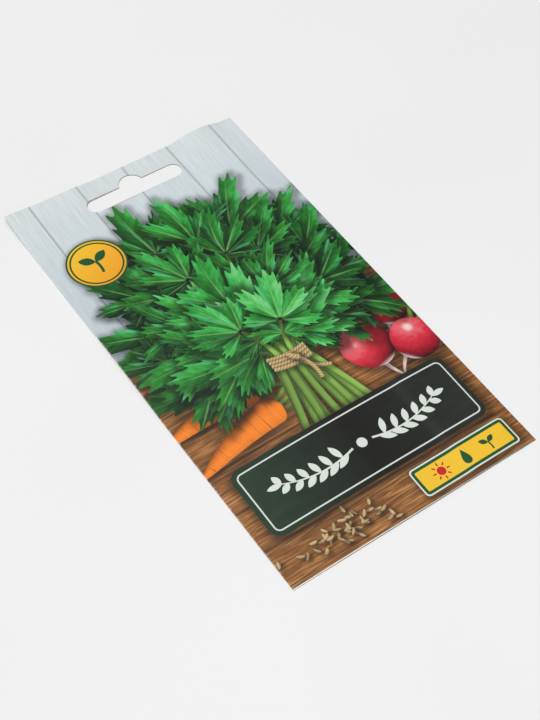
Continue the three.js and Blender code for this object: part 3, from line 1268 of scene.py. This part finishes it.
def root_ink(ink):
    """Thick root with fine rings round it."""
    _, v, _ = ink.split(ink.place())
    ring = ink.noise(ink.place(), 1.0, 4, stretch=(1.5, 0.3, 1.0))
    skin = ink.times(ink.tint(), rod_light(v) * (0.75 + 0.5 * ring))
    return ink.mix(0.6 * ink.smooth(ring, 0.42, 0.34), skin, colour(150, 66, 18))


def twine_ink(ink):
    """Twisted strands."""
    along, v, _ = ink.split(ink.place())
    twist = ink.math("SINE", 6.5 * (along + 0.5 * v))
    return ink.times(ink.tint(), rod_light(v) * (0.82 + 0.26 * twist))


def round_root_ink(ink):
    """Round roots, lit from the upper left, paler towards the tail, with a glint where no shadow falls."""
    x, y, _ = ink.split(ink.place())
    far = ink.length(x, y)
    towards = ink.math("SQRT", ink.math("MAXIMUM", 1.15 - far * far, 0.0))
    lit = 0.58 * towards + 0.32 * (y - x)
    red = ink.ramp(lit + 0.3 * ink.noise(ink.place(), 4.0, 4), RADISH_TONES)
    pale = ink.mix(ink.smooth(y, -0.9, -1.15), red, TAIL_PINK)
    from_glint = ink.length(x + 0.36, y - 0.4)
    glint = 0.75 * ink.smooth(from_glint, 0.3, 0.06) * ink.smooth(ink.shade(), 0.5, 1.0)
    return ink.mix(glint, pale, colour(250, 232, 228))


def slate_ink(ink):
    """Dark board with faint rubbed marks."""
    dust = ink.noise(ink.place(), 1.0, 6, stretch=(0.12, 0.5, 1.0))
    return ink.times(ink.tint(), 0.55 + 0.9 * dust)


INKS = {
    "plain": plain_ink,
    "wall": wall_ink,
    "boards": board_ink,
    "leaves": leaf_ink,
    "stalks": stalk_ink,
    "roots": root_ink,
    "twine": twine_ink,
    "round_roots": round_root_ink,
    "slate": slate_ink,
}


def cloudy(name, tones, scale, detail, smooth, rougher, depth, specular=0.5):
    """A material without print. Its tone, roughness and height follow one noise."""
    ink = Ink(name)
    cloud = ink.noise(ink.object_place(), scale, detail)
    tint = ink.ramp(cloud, tones)
    return ink.surface(tint, smooth + rougher * cloud, cloud, depth, specular=specular)


def bare_paper(name, tones):
    """Uncoated paper with a fibrous grain."""
    return cloudy(name, tones, scale=1800, detail=6, smooth=0.7, rougher=0.2, depth=0.00001, specular=0.3)


def sheet_materials():
    """The sheet's materials: one for each ink, one for the bare inside and one for the cut edge."""
    made = {}
    for name, paint in INKS.items():
        ink = Ink("print_" + name)
        made[name] = ink.on_paper(paint(ink))
    # the bare inside is darkened with painted shade
    made["inside"] = bare_paper("paper_inside_shaded", INSIDE_SHADE_TONES)
    made["cut"] = bare_paper("paper_cut", CUT_TONES)
    return made


# The packet
SHARPEST_SMOOTH = 50  # edges with a larger angle stay sharp


def make_object(name, points, faces, materials):
    mesh = bpy.data.meshes.new(name)
    mesh.from_pydata((points * MM).tolist(), [], faces)
    for material in materials:
        mesh.materials.append(material)
    mesh.polygons.foreach_set("use_smooth", np.ones(len(mesh.polygons), bool))
    made = bpy.data.objects.new(name, mesh)
    bpy.context.scene.collection.objects.link(made)
    return made


def add_corner_values(mesh, name, kind, field, values):
    """Stores a value for each corner of the mesh's first faces, and zeros for those left over."""
    full = np.zeros((len(mesh.loops), values.shape[1]))
    full[: len(values)] = values
    mesh.attributes.new(name, kind, "CORNER").data.foreach_set(field, full.ravel())


def packet_sheet():
    """The printed sheet, folded: printed skin outside, bare skin inside, and the cut edge all round."""
    motifs = [*front_print(), *back_print()]
    outlines = [on_sheet(motif) for motif in motifs]
    sheet, triangles = printed_side(outlines)
    owner, place, tint = printed_corners(sheet, triangles, motifs, outlines)

    rim = open_edges(triangles)
    rim_points, rim_edges = np.unique(rim, return_inverse=True)
    rim_edges = rim_edges.reshape(-1, 2)
    inner_sheet, inner_triangles, numbers = bare_side(sheet[rim_points], rim_edges)
    inner_triangles = inner_triangles[:, ::-1] + len(sheet)
    inner_rim = numbers[rim_edges] + len(sheet)
    cut_edge = np.stack([rim[:, 0], inner_rim[:, 0], inner_rim[:, 1], rim[:, 1]], axis=1)

    points = np.concatenate([sheet_to_packet(sheet, PAPER / 2), sheet_to_packet(inner_sheet, -PAPER / 2)])
    faces = triangles.tolist() + inner_triangles.tolist() + cut_edge.tolist()
    materials = sheet_materials()
    names = list(materials)
    made = make_object("paper_sleeve_print", points, faces, materials.values())
    mesh = made.data
    used = [motifs[i].ink for i in owner] + ["inside"] * len(inner_triangles) + ["cut"] * len(cut_edge)
    mesh.polygons.foreach_set("material_index", [names.index(name) for name in used])

    corner_points = np.zeros(len(mesh.loops), int)
    mesh.loops.foreach_get("vertex_index", corner_points)
    flat = np.concatenate([sheet, inner_sheet])[corner_points]
    add_corner_values(mesh, "place", "FLOAT_VECTOR", "vector", place)
    add_corner_values(mesh, "tint", "FLOAT_COLOR", "color", tint)
    add_corner_values(mesh, "sheet", "FLOAT_VECTOR", "vector", np.pad(flat, ((0, 0), (0, 1))))
    uv = bake_map(flat, np.arange(len(flat)) < len(place))
    mesh.uv_layers.new(name="OFBake").data.foreach_set("uv", uv.ravel())
    mesh.set_sharp_from_angle(angle=math.radians(SHARPEST_SMOOTH))
    return made


# The seeds inside, laid out as in the solids
SEED_COUNT = 90
SEED_LENGTH = 2.8
SEED_WIDTH = 1.3
SEED_THICKNESS = 1.2
SEED_BED = (16, 25)
SEED_BED_MIDDLE = -15
SEED_CLEARANCE = 0.1
SEED_RIBS = 5
RIB_DEPTH = 0.07
SEED_SIDES = 20
SEED_RINGS = 9
SEED_END = 0.97  # share of half the length, where the blunt ends are
GOLDEN_ANGLE = math.pi * (3 - math.sqrt(5))


def one_seed():
    """Points of a ribbed seed along y, ring by ring from end to end."""
    around = np.linspace(0, 2 * math.pi, SEED_SIDES, endpoint=False)
    along = np.linspace(-SEED_END, SEED_END, SEED_RINGS)[:, None]
    size = np.sqrt(1 - along**2) * (1 - RIB_DEPTH + RIB_DEPTH * np.cos(SEED_RIBS * around))
    x = size * np.cos(around) * SEED_WIDTH / 2
    y = np.broadcast_to(along * SEED_LENGTH / 2, x.shape)
    z = size * np.sin(around) * SEED_THICKNESS / 2
    return np.stack([x, y, z], axis=2).reshape(-1, 3)


def seed_faces():
    """Faces between the rings, and one on each end."""
    faces = []
    for ring in range(SEED_RINGS - 1):
        low = ring * SEED_SIDES
        high = low + SEED_SIDES
        for side in range(SEED_SIDES):
            following = (side + 1) % SEED_SIDES
            faces.append((low + side, high + side, high + following, low + following))
    last = (SEED_RINGS - 1) * SEED_SIDES
    faces.append(tuple(range(SEED_SIDES)))
    faces.append(tuple(reversed(range(last, last + SEED_SIDES))))
    return faces


def seed_bed():
    seed = one_seed()
    ring_faces = seed_faces()
    points, faces = [], []
    for i in range(SEED_COUNT):
        distance = math.sqrt((i + 0.5) / SEED_COUNT)
        angle = i * GOLDEN_ANGLE
        middle = np.array([
            SEED_BED[0] * distance * math.cos(angle),
            SEED_BED_MIDDLE + SEED_BED[1] * distance * math.sin(angle),
            PAPER + SEED_CLEARANCE + SEED_THICKNESS / 2,
        ])
        turned = seed.copy()
        turned[:, :2] = rotated(seed[:, :2], -math.degrees(angle * distance * SEED_COUNT))
        faces.extend([tuple(v + i * len(seed) for v in face) for face in ring_faces])
        points.append(turned + middle)
    return make_object("seed_bed", np.concatenate(points), faces, [seed_skin()])


def seed_skin():
    """Dry brown skin with a mottle and a fine grain."""
    ink = Ink("seed_skin")
    where = ink.object_place()
    mottle = ink.noise(where, 700, 5)
    tint = ink.ramp(mottle, SEED_TONES)
    return ink.surface(tint, 0.55 + 0.3 * mottle, ink.noise(where, 2400, 3), 0.00004, specular=0.3)


def glue_film():
    """Dry, slightly yellow adhesive."""
    return cloudy("dry_glue", GLUE_TONES, scale=400, detail=4, smooth=0.3, rougher=0.25, depth=0.00003)


# Floor, light and camera
FLOOR_SIZE = 3000
FLOOR_Z = -0.02  # just clear of the packet, so that the two don't share a surface
WORLD_LIGHT = 0.29
KEY_LIGHT = ((-1000, -500, 3000), 1600, 76)  # place, width and power
SHEEN_LIGHT = ((300, 520, 1500), 900, 2.0)
CAMERA_PLACE = (-147.75, -189.43, 308.31)
CAMERA_TARGET = (-4.04, -11.76, 0)
CAMERA_ROLL = 4.58
CAMERA_NEAR = 10
IMAGE_LONG_SIDE = 720
FOCAL_PIXELS = 1393.8
SENSOR = 36


def floor():
    look = dict(scale=6, detail=2, smooth=0.8, rougher=0.1, depth=0.00001, specular=0.1)
    material = cloudy("floor_paper", FLOOR_TONES, **look)
    half = FLOOR_SIZE / 2
    corners = np.pad(rectangle(-half, -half, half, half), ((0, 0), (0, 1)), constant_values=FLOOR_Z)
    make_object("floor", corners, [(0, 1, 2, 3)], [material])


def soft_light(name, place, size, power):
    lamp = bpy.data.lights.new(name, "AREA")
    lamp.shape = "DISK"
    lamp.size = size * MM
    lamp.energy = power
    made = bpy.data.objects.new(name, lamp)
    made.location = Vector(place) * MM
    made.rotation_euler = (-made.location).to_track_quat("-Z", "Y").to_euler()
    bpy.context.scene.collection.objects.link(made)


def studio():
    world = bpy.data.worlds.new("studio")
    world.use_nodes = True
    background = world.node_tree.nodes["Background"]
    background.inputs["Color"].default_value = (1, 1, 1, 1)
    background.inputs["Strength"].default_value = WORLD_LIGHT
    bpy.context.scene.world = world
    bpy.context.scene.view_settings.view_transform = "Standard"
    soft_light("key_light", *KEY_LIGHT)
    soft_light("sheen_light", *SHEEN_LIGHT)


def camera():
    made = bpy.data.objects.new("camera", bpy.data.cameras.new("camera"))
    made.data.sensor_width = SENSOR
    made.data.lens = SENSOR * FOCAL_PIXELS / IMAGE_LONG_SIDE
    made.data.clip_start = CAMERA_NEAR * MM
    made.location = Vector(CAMERA_PLACE) * MM
    look = Vector(CAMERA_TARGET) - Vector(CAMERA_PLACE)
    roll = Quaternion((0, 0, 1), math.radians(CAMERA_ROLL))
    made.rotation_mode = "QUATERNION"
    made.rotation_quaternion = look.to_track_quat("-Z", "Y") @ roll
    bpy.context.scene.collection.objects.link(made)
    bpy.context.scene.camera = made


sleeve = packet_sheet()
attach(sleeve, "root")
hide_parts("paper_sleeve")

seeds = seed_bed()
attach(seeds, "root")
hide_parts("seeds")

glue = glue_film()
for node in ("seam_glue", "bottom_glue", "top_glue"):
    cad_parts[node].data.materials.clear()
    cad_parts[node].data.materials.append(glue)

floor()
studio()
camera()
